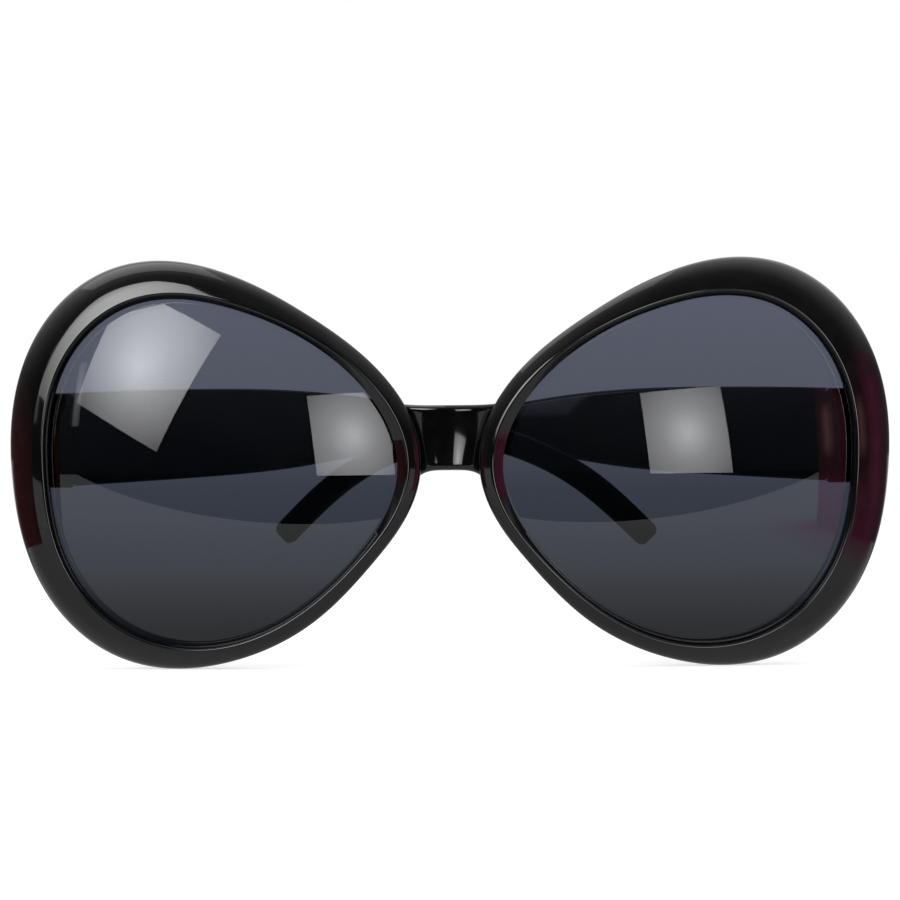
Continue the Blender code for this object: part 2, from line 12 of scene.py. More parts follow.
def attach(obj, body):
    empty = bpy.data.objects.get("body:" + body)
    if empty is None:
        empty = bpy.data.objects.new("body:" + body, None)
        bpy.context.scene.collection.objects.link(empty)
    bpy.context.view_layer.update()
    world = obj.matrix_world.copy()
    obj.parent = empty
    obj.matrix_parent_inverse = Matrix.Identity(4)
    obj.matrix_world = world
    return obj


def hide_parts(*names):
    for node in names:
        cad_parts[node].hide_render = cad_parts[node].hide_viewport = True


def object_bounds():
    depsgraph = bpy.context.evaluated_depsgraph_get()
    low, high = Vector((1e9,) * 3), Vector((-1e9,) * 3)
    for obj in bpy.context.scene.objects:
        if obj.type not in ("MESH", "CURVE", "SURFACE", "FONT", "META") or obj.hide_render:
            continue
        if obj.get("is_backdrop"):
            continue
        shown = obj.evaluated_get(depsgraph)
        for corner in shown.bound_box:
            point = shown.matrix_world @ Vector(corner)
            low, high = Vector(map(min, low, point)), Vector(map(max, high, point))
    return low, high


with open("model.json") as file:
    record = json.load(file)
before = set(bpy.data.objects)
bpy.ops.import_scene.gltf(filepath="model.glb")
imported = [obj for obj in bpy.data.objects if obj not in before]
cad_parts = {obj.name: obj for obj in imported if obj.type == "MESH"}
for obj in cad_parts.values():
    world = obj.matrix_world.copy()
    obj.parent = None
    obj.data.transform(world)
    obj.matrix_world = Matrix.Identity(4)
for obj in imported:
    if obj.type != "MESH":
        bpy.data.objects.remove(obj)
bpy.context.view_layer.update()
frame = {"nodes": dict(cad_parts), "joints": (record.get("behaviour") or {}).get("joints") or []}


# The front: two rims and a saddle bridge, injection moulded in one piece of black plastic
# and polished to a high gloss. Behind it the same shot forms the nose pads and the two
# end blocks that the hinges are screwed to.

# Shares go round a lens in twelve equal steps, from its outer side over the top.
LENS_WIDTH = 0.0630
LENS_HEIGHT = 0.0630
LENS_THICKNESS = 0.0020
LENS_DOME_RADIUS = 0.110
LENS_DISTANCE = 0.0190
LENS_DROP = 0.0058
LENS_EDGE_SHARES = (1.0, 1.08, 1.09, 0.945, 0.885, 0.935, 1.0, 0.915, 0.9, 0.975, 1.045, 1.03)
WRAP_SHARE = 0.07
SEAT_GAP = 0.0003
LENS_BITE = 0.0009
RIM_BAND = 0.0072
RIM_BAND_SHARES = (1.0, 1.09, 1.13, 0.88, 0.58, 0.6, 0.59, 0.43, 0.48, 0.54, 0.8, 0.92)
RIM_LIP_WALL = 0.0006
RIM_BACK_WALL = 0.0013
RIM_BACK_ROUND = 0.0014
RIM_INNER_ROUND = 0.0005
RIDGE_INSET = 0.0013
RIDGE_INSET_SHARES = (1.0, 1.0, 1.0, 1.0, 1.0, 1.4, 1.6, 1.0, 0.9, 1.0, 1.0, 1.0)
RIDGE_RISE = 0.0018
RIDGE_ROUND = 0.0007
FACE_LEAN_SHARES = (0.12, 0.12, 0.15, 0.04, -0.2, -0.3, -0.2, -0.2, -0.1, 0.05, 0.1, 0.12)
FACE_FALL_SHARE = 0.6
FACE_ROUNDING_POWER = 0.66
RIM_STATIONS = 288
RIDGE_STEPS = 6
FACE_STEPS = 16
BACK_ROUND_STEPS = 8
INNER_ROUND_STEPS = 5

LENS_X = (LENS_WIDTH + LENS_DISTANCE) / 2
GROOVE_FRONT = -SEAT_GAP
GROOVE_BACK = LENS_THICKNESS + SEAT_GAP
GROOVE_DEPTH = LENS_BITE + SEAT_GAP
LIP_FRONT = GROOVE_FRONT - RIM_LIP_WALL
CREST_FRONT = LIP_FRONT - RIDGE_RISE
RIM_BACK = GROOVE_BACK + RIM_BACK_WALL
SIDES = {"left": 1, "right": -1}
SMOOTH_BELOW = math.radians(35)


def curve_between(values, bends, low, high, after):
    """The smooth curve from one value to the next, so far after the first."""
    before = 1 - after
    straight = before * values[low] + after * values[high]
    curved = (before**3 - before) * bends[low] + (after**3 - after) * bends[high]
    return straight + curved / 6


def smooth_loop(values):
    """Return a smooth closed function through values that are spaced evenly round a turn."""
    values = np.array(values)
    count = len(values)
    one_on = np.roll(np.eye(count), 1, axis=1)
    steps = np.roll(values, 1) - 2 * values + np.roll(values, -1)
    bends = np.linalg.solve(4 * np.eye(count) + one_on + one_on.T, 6 * steps)

    def value(angle):
        place = angle / math.tau * count
        start = math.floor(place)
        return curve_between(values, bends, start % count, (start + 1) % count, place - start)

    return value


lens_edge_share = smooth_loop(LENS_EDGE_SHARES)
rim_band_share = smooth_loop(RIM_BAND_SHARES)
ridge_inset_share = smooth_loop(RIDGE_INSET_SHARES)
face_lean_share = smooth_loop(FACE_LEAN_SHARES)


def rim_band(angle):
    return RIM_BAND * rim_band_share(angle)


def lens_edge_point(angle, outwards):
    """A place in the plane of a lens, so far outside its visible edge."""
    share = lens_edge_share(angle)
    across = math.cos(angle) * (share * LENS_WIDTH / 2 + outwards)
    up = math.sin(angle) * (share * LENS_HEIGHT / 2 + outwards)
    return across, up


def dome_depth(across, up):
    radius = math.hypot(across, up)
    dome = LENS_DOME_RADIUS - math.sqrt(LENS_DOME_RADIUS**2 - radius**2)
    return dome + WRAP_SHARE * across


LENS_FACE_Y = -(dome_depth(*lens_edge_point(math.pi, rim_band(math.pi))) + RIM_BACK)


def add_object(name, data):
    """Put a new object with this mesh, lamp or camera in the scene."""
    made = bpy.data.objects.new(name, data)
    bpy.context.scene.collection.objects.link(made)
    return made


def object_from(name, body):
    """Make an object from a bmesh, with its faces pointing out."""
    bmesh.ops.recalc_face_normals(body, faces=body.faces)
    if body.calc_volume(signed=True) < 0:
        bmesh.ops.reverse_faces(body, faces=body.faces)
    mesh = bpy.data.meshes.new(name)
    body.to_mesh(mesh)
    body.free()
    return add_object(name, mesh)


def join_rings(body, first, second):
    count = len(first)
    for here in range(count):
        after = (here + 1) % count
        body.faces.new((first[here], first[after], second[after], second[here]))


def lofted(name, rings, closed):
    """Skin a row of rings, either round into itself or with a cap on each end."""
    body = bmesh.new()
    made_rings = [[body.verts.new(point) for point in points] for points in rings]
    for first, second in zip(made_rings, made_rings[1:]):
        join_rings(body, first, second)
    if closed:
        join_rings(body, made_rings[-1], made_rings[0])
    else:
        body.faces.new(made_rings[0])
        body.faces.new(made_rings[-1])
    return object_from(name, body)


def keep_shape(made):
    """Make the modifiers' result the object's own mesh, facing out and smooth where round."""
    graph = bpy.context.evaluated_depsgraph_get()
    mesh = bpy.data.meshes.new_from_object(made.evaluated_get(graph))
    made.modifiers.clear()
    body = bmesh.new()
    body.from_mesh(mesh)
    bmesh.ops.recalc_face_normals(body, faces=body.faces)
    body.to_mesh(mesh)
    body.free()
    made.data = mesh
    mesh.shade_smooth()
    mesh.set_sharp_from_angle(angle=SMOOTH_BELOW)


def math_node(tree, operation, first, second=0.0):
    """A Math node fed by sockets or plain numbers. Returns its output."""
    node = tree.nodes.new("ShaderNodeMath")
    node.operation = operation
    for socket, value in zip(node.inputs, (first, second)):
        if isinstance(value, (int, float)):
            socket.default_value = value
        else:
            tree.links.new(value, socket)
    return node.outputs[0]


def new_tree(name, sizes):
    """An empty Geometry Nodes tree with a geometry, a material and these sizes as inputs."""
    tree = bpy.data.node_groups.new(name, "GeometryNodeTree")
    sockets = tree.interface
    sockets.new_socket("Geometry", in_out="INPUT", socket_type="NodeSocketGeometry")
    for label, size in sizes.items():
        made = sockets.new_socket(label, in_out="INPUT", socket_type="NodeSocketFloat")
        made.default_value = size
    sockets.new_socket("Finish", in_out="INPUT", socket_type="NodeSocketMaterial")
    sockets.new_socket("Geometry", in_out="OUTPUT", socket_type="NodeSocketGeometry")
    return tree, tree.nodes.new("NodeGroupInput"), tree.nodes.new("NodeGroupOutput")


def end_tree(tree, source, entry, leave):
    """Close a tree with Realize Instances and Set Material."""
    real = tree.nodes.new("GeometryNodeRealizeInstances")
    finish = tree.nodes.new("GeometryNodeSetMaterial")
    tree.links.new(source, real.inputs["Geometry"])
    tree.links.new(real.outputs["Geometry"], finish.inputs["Geometry"])
    tree.links.new(entry.outputs["Finish"], finish.inputs["Material"])
    tree.links.new(finish.outputs["Geometry"], leave.inputs["Geometry"])


def split_axes(tree, place):
    """The node that splits a place into its X, Y and Z."""
    split = tree.nodes.new("ShaderNodeSeparateXYZ")
    tree.links.new(place, split.inputs["Vector"])
    return split


def dome_tree():
    """Carry a piece drawn flat (across, back, up) onto the dome of its lens."""
    sizes = {
        "Dome radius": LENS_DOME_RADIUS,
        "Wrap": WRAP_SHARE,
        "Face depth": LENS_FACE_Y,
        "Lens across": LENS_X,
        "Lens drop": LENS_DROP,
        "Side": 1.0,
    }
    tree, entry, leave = new_tree("carried onto the dome", sizes)
    place = tree.nodes.new("GeometryNodeInputPosition")
    join = tree.nodes.new("ShaderNodeCombineXYZ")
    move = tree.nodes.new("GeometryNodeSetPosition")
    split = split_axes(tree, place.outputs["Position"])
    across, back, up = (split.outputs[axis] for axis in "XYZ")
    radius = entry.outputs["Dome radius"]
    across_squared = math_node(tree, "MULTIPLY", across, across)
    up_squared = math_node(tree, "MULTIPLY", up, up)
    radius_squared = math_node(tree, "MULTIPLY", radius, radius)
    spread = math_node(tree, "ADD", across_squared, up_squared)
    rise = math_node(tree, "SQRT", math_node(tree, "SUBTRACT", radius_squared, spread))
    dome = math_node(tree, "SUBTRACT", radius, rise)
    wrap = math_node(tree, "MULTIPLY", entry.outputs["Wrap"], across)
    depth = math_node(tree, "ADD", math_node(tree, "ADD", dome, wrap), back)
    depth = math_node(tree, "ADD", depth, entry.outputs["Face depth"])
    out = math_node(tree, "ADD", entry.outputs["Lens across"], across)
    tree.links.new(math_node(tree, "MULTIPLY", entry.outputs["Side"], out), join.inputs["X"])
    tree.links.new(depth, join.inputs["Y"])
    tree.links.new(math_node(tree, "SUBTRACT", up, entry.outputs["Lens drop"]), join.inputs["Z"])
    tree.links.new(entry.outputs["Geometry"], move.inputs["Geometry"])
    tree.links.new(join.outputs["Vector"], move.inputs["Position"])
    end_tree(tree, move.outputs["Geometry"], entry, leave)
    return tree


def run_tree(made, tree, values):
    """Run a Geometry Nodes tree on an object and keep its result as a plain mesh."""
    step = made.modifiers.new(tree.name, "NODES")
    step.node_group = tree
    for item in tree.interface.items_tree:
        if item.in_out == "INPUT" and item.name in values:
            step[item.identifier] = values[item.name]
    keep_shape(made)


onto_dome = dome_tree()


def combine(target, tool, operation):
    """Join a tool to the target or cut it away, and remove the tool."""
    step = target.modifiers.new(operation, "BOOLEAN")
    step.operation = operation
    step.solver = "EXACT"
    step.object = tool
    keep_shape(target)
    bpy.data.objects.remove(tool)


def quarter_turn(steps, first=0):
    """The angles of a quarter turn in even steps, from the first one on."""
    return [math.pi / 2 * step / steps for step in range(first, steps + 1)]


def rim_section(place):
    """The rim's cross-section: (outwards from the lens edge, back from the lens face)."""
    band = rim_band(place)
    inset = RIDGE_INSET * ridge_inset_share(place)
    lean = face_lean_share(place)
    bevel_angle = math.atan2(RIDGE_RISE, inset)
    section = [(0, GROOVE_FRONT), (0, LIP_FRONT)]
    for step in range(RIDGE_STEPS + 1):
        angle = bevel_angle * (1 - step / RIDGE_STEPS)
        outwards = inset - RIDGE_ROUND * math.sin(angle)
        section.append((outwards, CREST_FRONT + RIDGE_ROUND * (1 - math.cos(angle))))
    face = band - inset
    for angle in quarter_turn(FACE_STEPS, first=1):
        along = face * math.sin(angle)**FACE_ROUNDING_POWER
        rounding = face * (1 - max(0, math.cos(angle))**FACE_ROUNDING_POWER)
        back = (FACE_FALL_SHARE + lean) * rounding - lean * along
        section.append((inset + along, CREST_FRONT + back))
    edge_back = CREST_FRONT + FACE_FALL_SHARE * face
    for angle in quarter_turn(BACK_ROUND_STEPS, first=1):
        outwards = band - RIM_BACK_ROUND * (1 - math.cos(angle))
        section.append((outwards, edge_back + (RIM_BACK - edge_back) * math.sin(angle)))
    for angle in quarter_turn(INNER_ROUND_STEPS):
        outwards = RIM_INNER_ROUND * (1 - math.sin(angle))
        section.append((outwards, RIM_BACK - RIM_INNER_ROUND * (1 - math.cos(angle))))
    section.append((0, GROOVE_BACK))
    section.append((GROOVE_DEPTH, GROOVE_BACK))
    section.append((GROOVE_DEPTH, GROOVE_FRONT))
    return section


def rim(side, finish):
    """One rim: its section drawn round the flat lens outline, then carried onto the dome."""
    rings = []
    for station in range(RIM_STATIONS):
        angle = math.tau * station / RIM_STATIONS
        ring = []
        for outwards, back in rim_section(angle):
            across, up = lens_edge_point(angle, outwards)
            ring.append((across, back, up))
        rings.append(ring)
    made = lofted("rim", rings, closed=True)
    run_tree(made, onto_dome, {"Side": float(side), "Finish": finish})
    return made


BRIDGE_HEIGHT = 0.0117
BRIDGE_THICKNESS = 0.0050
BRIDGE_END_WALL = 0.0001
BRIDGE_CROWN_RADIUS = 0.0140
BRIDGE_HOLLOW_RADIUS = 0.0600
BRIDGE_FLARE = 0.0013
BRIDGE_END_DROP = 0.0008
BRIDGE_EDGE_ROUND = 0.0009
BRIDGE_BACK_RELIEF = 0.0006
BRIDGE_SLANT_SHARE = 0.25
BRIDGE_LAND_SHARE = 0.5
BRIDGE_HALF_WIDTH = LENS_DISTANCE / 2 - GROOVE_DEPTH - BRIDGE_END_WALL
BRIDGE_STATIONS = 56
BRIDGE_FACE_STEPS = 22
CORNER_STEPS = 6


def bridge():
    """The saddle between the rims: crowned across, hollow from top to bottom, flat behind."""
    rings = []
    for station in range(BRIDGE_STATIONS + 1):
        share = 2 * station / BRIDGE_STATIONS - 1
        half_height = BRIDGE_HEIGHT / 2 + BRIDGE_FLARE * share**4
        drop = BRIDGE_END_DROP * share**4
        straight = half_height - BRIDGE_EDGE_ROUND
        centre_x = share * BRIDGE_HALF_WIDTH
        front = centre_x**2 / (2 * BRIDGE_CROWN_RADIUS) - BRIDGE_THICKNESS
        beyond_land = max(0.0, (abs(share) - BRIDGE_LAND_SHARE) / (1 - BRIDGE_LAND_SHARE))
        back = -BRIDGE_BACK_RELIEF * beyond_land**2
        outline = []
        for step in range(BRIDGE_FACE_STEPS + 1):
            up = straight * (2 * step / BRIDGE_FACE_STEPS - 1)
            outline.append((front - up**2 / (2 * BRIDGE_HOLLOW_RADIUS), up))
        edge_front = outline[-1][0]
        for angle in quarter_turn(CORNER_STEPS, first=1):
            rounding = BRIDGE_EDGE_ROUND * (1 - math.cos(angle))
            up = straight + BRIDGE_EDGE_ROUND * math.sin(angle)
            outline.append((edge_front + rounding, up))
        for angle in quarter_turn(CORNER_STEPS):
            rounding = BRIDGE_EDGE_ROUND * (1 - math.sin(angle))
            up = straight + BRIDGE_EDGE_ROUND * math.cos(angle)
            outline.append((back - rounding, up))
        lower = [(y, -z) for y, z in reversed(outline[BRIDGE_FACE_STEPS + 1:])]
        ring = []
        for y, z in outline + lower:
            across = share * (BRIDGE_HALF_WIDTH + BRIDGE_SLANT_SHARE * z)
            ring.append((across, y, z - drop))
        rings.append(ring)
    return lofted("bridge", rings, closed=False)


PAD_LENGTH = 0.0130
PAD_WIDTH = 0.0030
PAD_DEPTH = 0.0052
PAD_SINK_SHARE = 0.5
PAD_DIRECTION = math.radians(209)
PAD_SIDES = 40
PAD_RINGS = 24


def nose_pad(side):
    """A moulded pad, half sunk in the back of the rim beside the nose."""
    across, up = lens_edge_point(PAD_DIRECTION, rim_band(PAD_DIRECTION) / 2)
    depth = LENS_FACE_Y + dome_depth(across, up) + RIM_BACK
    centre = (side * (LENS_X + across), depth, up - LENS_DROP)
    facet = math.tau / RIM_STATIONS
    ahead = lens_edge_point(PAD_DIRECTION + facet, 0)
    behind = lens_edge_point(PAD_DIRECTION - facet, 0)
    lean = math.atan2(side * (ahead[0] - behind[0]), ahead[1] - behind[1])
    body = bmesh.new()
    bmesh.ops.create_uvsphere(body, u_segments=PAD_SIDES, v_segments=PAD_RINGS, radius=1)
    for vert in body.verts:
        vert.co.x *= PAD_WIDTH / 2
        vert.co.y *= PAD_DEPTH if vert.co.y > 0 else RIM_BACK_WALL * PAD_SINK_SHARE
        vert.co.z *= PAD_LENGTH / 2
    place = Matrix.Translation(centre) @ Matrix.Rotation(lean, 4, "Y")
    bmesh.ops.transform(body, matrix=place, verts=body.verts)
    return object_from("nose pad", body)


HINGE_OUTSIDE_LENS = 0.0019
HINGE_X = LENS_X + LENS_WIDTH / 2 + HINGE_OUTSIDE_LENS
HINGE_Y = frame["joints"][0]["pos_m"][1]
KNUCKLE_RADIUS = 0.00135
STAND_OFF = KNUCKLE_RADIUS + SEAT_GAP
LEAF_LENGTH = 0.0040
ARM_HEIGHT = 0.0171
ARM_THICKNESS = 0.0028
BLOCK_MARGIN = 0.0004
BLOCK_COVER_SHARE = 0.7
BLOCK_EDGE_ROUND = 0.0007
BLOCK_ROUND_STEPS = 5
OUTER_GROOVE = lens_edge_point(0, GROOVE_DEPTH)
OUTER_GROOVE_BACK_Y = LENS_FACE_Y + dome_depth(*OUTER_GROOVE) + GROOVE_BACK


def end_block(side):
    """The block behind a rim's outer end: it carries the hinge, and the arm butts on it."""
    inner_x = side * (HINGE_X - STAND_OFF - LEAF_LENGTH - BLOCK_MARGIN)
    outer_x = side * (HINGE_X + STAND_OFF + ARM_THICKNESS)
    front_y = OUTER_GROOVE_BACK_Y + RIM_BACK_WALL * BLOCK_COVER_SHARE
    back_y = HINGE_Y - STAND_OFF
    rings = []
    corners = [(inner_x, front_y), (outer_x, front_y), (outer_x, back_y), (inner_x, back_y)]
    for z in (-ARM_HEIGHT / 2, ARM_HEIGHT / 2):
        rings.append([(x, y, z) for x, y in corners])
    made = lofted("end block", rings, closed=False)
    bevel = made.modifiers.new("rounded edges", "BEVEL")
    bevel.width = BLOCK_EDGE_ROUND
    bevel.segments = BLOCK_ROUND_STEPS
    keep_shape(made)
    return made


def new_material(name):
    """A material with a Principled shader. Returns it with its tree and that shader."""
    made = bpy.data.materials.new(name)
    made.use_nodes = True
    return made, made.node_tree, made.node_tree.nodes["Principled BSDF"]


def noise(tree, pattern, stretch=(1.0, 1.0, 1.0)):
    """Noise over the object's own coordinates. Returns its factor.

    A pattern is its waves per metre, and how many layers of finer waves it has.
    """
    waves, layers = pattern
    place = tree.nodes.new("ShaderNodeTexCoord")
    mapping = tree.nodes.new("ShaderNodeMapping")
    mapping.inputs["Scale"].default_value = stretch
    texture = tree.nodes.new("ShaderNodeTexNoise")
    texture.inputs["Scale"].default_value = waves
    texture.inputs["Detail"].default_value = layers
    tree.links.new(place.outputs["Object"], mapping.inputs["Vector"])
    tree.links.new(mapping.outputs["Vector"], texture.inputs["Vector"])
    return texture.outputs["Fac"]


# Most of a noise lies between these
NOISE_LOW = 0.3
NOISE_HIGH = 0.7


def between(tree, factor, low, high, from_low=NOISE_LOW, from_high=NOISE_HIGH):
    """Spread a factor over the range from low to high."""
    spread = tree.nodes.new("ShaderNodeMapRange")
    spread.inputs["From Min"].default_value = from_low
    spread.inputs["From Max"].default_value = from_high
    spread.inputs["To Min"].default_value = low
    spread.inputs["To Max"].default_value = high
    tree.links.new(factor, spread.inputs["Value"])
    return spread.outputs["Result"]


def colour_mix(tree, factor, first, second):
    """Mix two colours, which are sockets or plain colours, by a factor. Returns the result."""
    mix = tree.nodes.new("ShaderNodeMix")
    mix.data_type = "RGBA"
    tree.links.new(factor, mix.inputs["Factor"])
    for label, colour in (("A", first), ("B", second)):
        if isinstance(colour, tuple):
            mix.inputs[label].default_value = (*colour, 1)
        else:
            tree.links.new(colour, mix.inputs[label])
    return mix.outputs["Result"]


def bumped(tree, shader, height, strength, distance):
    bump = tree.nodes.new("ShaderNodeBump")
    bump.inputs["Strength"].default_value = strength
    bump.inputs["Distance"].default_value = distance
    tree.links.new(height, bump.inputs["Height"])
    tree.links.new(bump.outputs["Normal"], shader.inputs["Normal"])


PLASTIC_IOR = 1.5
HAZE_PATTERN = (90, 3)
SCRATCH_PATTERN = (900, 4)
WEAR_PATTERN = (260, 5)
RIPPLE_PATTERN = (220, 1)
SCRATCH_STRETCH = (1.0, 1.0, 0.12)
SCRATCH_RANGE = (0.55, 0.75)
SCRATCH_ROUGHNESS = 0.02
WEAR_RANGE = (0.5, 0.8)
RIPPLE_STRENGTH = 0.12
RIPPLE_HEIGHT = 0.00002


def gloss_plastic(name, colour, worn_colour, roughness_range):
    """Polished black plastic: faint mould waviness, hair scratches and finger haze."""
    made, tree, shader = new_material(name)
    haze = between(tree, noise(tree, HAZE_PATTERN), *roughness_range)
    scratches = noise(tree, SCRATCH_PATTERN, stretch=SCRATCH_STRETCH)
    scratched = between(tree, scratches, 0.0, SCRATCH_ROUGHNESS, *SCRATCH_RANGE)
    tree.links.new(math_node(tree, "ADD", haze, scratched), shader.inputs["Roughness"])
    wear = between(tree, noise(tree, WEAR_PATTERN), 0.0, 1.0, *WEAR_RANGE)
    tree.links.new(colour_mix(tree, wear, colour, worn_colour), shader.inputs["Base Color"])
    shader.inputs["IOR"].default_value = PLASTIC_IOR
    bumped(tree, shader, noise(tree, RIPPLE_PATTERN), RIPPLE_STRENGTH, RIPPLE_HEIGHT)
    return made


FRONT_BLACK = (0.0025, 0.0025, 0.003)
FRONT_WORN = (0.006, 0.006, 0.006)
FRONT_ROUGHNESS = (0.035, 0.07)
front_finish = gloss_plastic("polished black front", FRONT_BLACK, FRONT_WORN, FRONT_ROUGHNESS)


def moulded_front():
    made = rim(SIDES["left"], front_finish)
    combine(made, rim(SIDES["right"], front_finish), "UNION")
    combine(made, bridge(), "UNION")
    for side in SIDES.values():
        combine(made, nose_pad(side), "UNION")
        combine(made, end_block(side), "UNION")
    made.name = "moulded_front"
    made.data.materials.clear()
    made.data.materials.append(front_finish)
    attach(made, "front")
    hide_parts("front_frame")


moulded_front()


# The lenses: domed smoke-tinted plastic, pressed and polished, snapped from behind into
# the groove of each rim. The tint is bluish; its colour darkens towards the bottom as painted
# shade of the shadowed floor behind the glasses.

LENS_RINGS = 20
# Shares of the light that the tint passes, lower towards the bottom as painted shade, and their
# heights above the lens centre
TINT_HEIGHT_SHARES = (-1.0, -0.55, -0.1, 0.45, 1.0)
TINTS_AND_PAINTED_SHADE = (
    (0.016, 0.017, 0.023),
    (0.032, 0.037, 0.048),
    (0.042, 0.049, 0.068),
    (0.086, 0.096, 0.128),
    (0.100, 0.109, 0.148),
)


def ramp_node(tree, factor, stops):
    """A colour ramp through (position, colour) stops, where a colour may be one grey."""
    ramp = tree.nodes.new("ShaderNodeValToRGB")
    tree.links.new(factor, ramp.inputs["Fac"])
    elements = ramp.color_ramp.elements
    while len(elements) < len(stops):
        elements.new(1.0)
    for element, (position, colour) in zip(elements, stops):
        element.position = position
        element.color = (*colour, 1) if isinstance(colour, tuple) else (colour, colour, colour, 1)
    return ramp.outputs["Color"]


def split_place(tree):
    """The node that splits the object's own coordinates."""
    place = tree.nodes.new("ShaderNodeTexCoord")
    return split_axes(tree, place.outputs["Object"])


def lens_tint_and_painted_shade():
    made, tree, shader = new_material("smoke lens")
    shader.inputs["Transmission Weight"].default_value = 1.0
    shader.inputs["IOR"].default_value = PLASTIC_IOR
    shader.inputs["Roughness"].default_value = 0.0
    low = -LENS_DROP - LENS_HEIGHT / 2
    # The tint darkens towards the bottom: painted shade of the shadowed floor seen through the lens
    height = between(tree, split_place(tree).outputs["Z"], 0.0, 1.0, low, low + LENS_HEIGHT)
    stops = [((share + 1) / 2, tint) for share, tint in zip(TINT_HEIGHT_SHARES, TINTS_AND_PAINTED_SHADE)]
    tree.links.new(ramp_node(tree, height, stops), shader.inputs["Base Color"])
    return made


tint_and_shade_finish = lens_tint_and_painted_shade()


def smoke_lens(word, side):
    """A lens drawn as a flat disc of its own outline, then carried onto the dome."""
    body = bmesh.new()
    edges = []
    for back in (0, LENS_THICKNESS):
        centre = body.verts.new((0, back, 0))
        rings = []
        for step in range(1, LENS_RINGS + 1):
            share = step / LENS_RINGS
            ring = []
            for station in range(RIM_STATIONS):
                across, up = lens_edge_point(math.tau * station / RIM_STATIONS, LENS_BITE)
                ring.append(body.verts.new((share * across, back, share * up)))
            rings.append(ring)
        for here in range(RIM_STATIONS):
            body.faces.new((centre, rings[0][here], rings[0][(here + 1) % RIM_STATIONS]))
        for first, second in zip(rings, rings[1:]):
            join_rings(body, first, second)
        edges.append(rings[-1])
    join_rings(body, edges[0], edges[1])
    made = object_from(f"smoke_lens_{word}", body)
    run_tree(made, onto_dome, {"Side": float(side), "Finish": tint_and_shade_finish})
    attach(made, "front")
    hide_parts(f"{word}_lens")


for word, side in SIDES.items():
    smoke_lens(word, side)


# The arms: each one moulded in the same black plastic, deep at the hinge, narrow at the
# ear and bent down at its end, with a crowned outer face. They lie folded one on the other.

ARM_REACH = 0.1109
ARM_DROP = 0.0185
ARM_TIP_THICKNESS = 0.0024
ARM_CROWN = 0.00035
ARM_EDGE_ROUND = 0.0007
ARM_TIP_ROUND = 0.0012
ARM_RISE_SHARES = (0.0, 0.03, 0.054, 0.076, 0.098, 0.121, 0.119, 0.062, -0.118, -0.449, -1.0)
ARM_HEIGHT_SHARES = (1.0, 0.99, 0.965, 0.925, 0.84, 0.67, 0.465, 0.315, 0.26, 0.275, 0.27)
ARM_EDGE_LIMIT_SHARE = 0.33
ARM_STATIONS = 160
TIP_STEPS = 8
CROWN_STEPS = 8
FOLDS = {"left": math.radians(14), "right": math.radians(-4)}


def smooth_line(values):
    """Return a smooth function of 0 to 1 through values that are spaced evenly along it."""
    values = np.array(values)
    last = len(values) - 1
    inner = last - 1
    neighbours = np.eye(inner, k=1) + np.eye(inner, k=-1)
    steps = values[:-2] - 2 * values[1:-1] + values[2:]
    bends = np.zeros(len(values))
    bends[1:-1] = np.linalg.solve(4 * np.eye(inner) + neighbours, 6 * steps)

    def value(share):
        place = share * last
        low = min(max(math.floor(place), 0), last - 1)
        return curve_between(values, bends, low, low + 1, place - low)

    return value


arm_rise_share = smooth_line(ARM_RISE_SHARES)
arm_height_share = smooth_line(ARM_HEIGHT_SHARES)


def arm_section(half_height, thickness):
    """The arm's cross-section: (up, out from its inner face), with a crowned outer face."""
    edge = min(ARM_EDGE_ROUND, half_height / 2, thickness * ARM_EDGE_LIMIT_SHARE)
    outer_edge = thickness - ARM_CROWN
    points = []
    for angle in quarter_turn(CORNER_STEPS):
        up = half_height - edge * (1 - math.sin(angle))
        points.append((up, edge * (1 - math.cos(angle))))
    for angle in quarter_turn(CORNER_STEPS):
        up = half_height - edge * (1 - math.cos(angle))
        points.append((up, outer_edge - edge * (1 - math.sin(angle))))
    crown = []
    for step in range(1, CROWN_STEPS):
        share = 1 - 2 * step / CROWN_STEPS
        up = (half_height - edge) * share
        crown.append((up, thickness - ARM_CROWN * share**2))
    return points + crown + [(-up, out) for up, out in reversed(points)]


def arm_stations():
    """Where the arm's sections stand, (along, drawn in), with its end rounded off."""
    root = -(STAND_OFF - SEAT_GAP)
    tip_start = ARM_REACH - ARM_TIP_ROUND
    stations = []
    for step in range(ARM_STATIONS + 1):
        stations.append((root + (tip_start - root) * step / ARM_STATIONS, 0))
    for angle in quarter_turn(TIP_STEPS, first=1):
        drawn_in = ARM_TIP_ROUND * (1 - math.cos(angle))
        stations.append((tip_start + ARM_TIP_ROUND * math.sin(angle), drawn_in))
    return stations


ARM_BLACK = (0.003, 0.003, 0.0035)
ARM_WORN = (0.007, 0.007, 0.007)
ARM_ROUGHNESS = (0.07, 0.13)
arm_finish = gloss_plastic("black arms", ARM_BLACK, ARM_WORN, ARM_ROUGHNESS)


def hinge_place(word):
    """Where a hinge stands and how far its arm is folded, as a matrix."""
    side = SIDES[word]
    fold = Matrix.Rotation(-side * FOLDS[word], 4, "Z")
    return Matrix.Translation((side * HINGE_X, HINGE_Y, 0)) @ fold


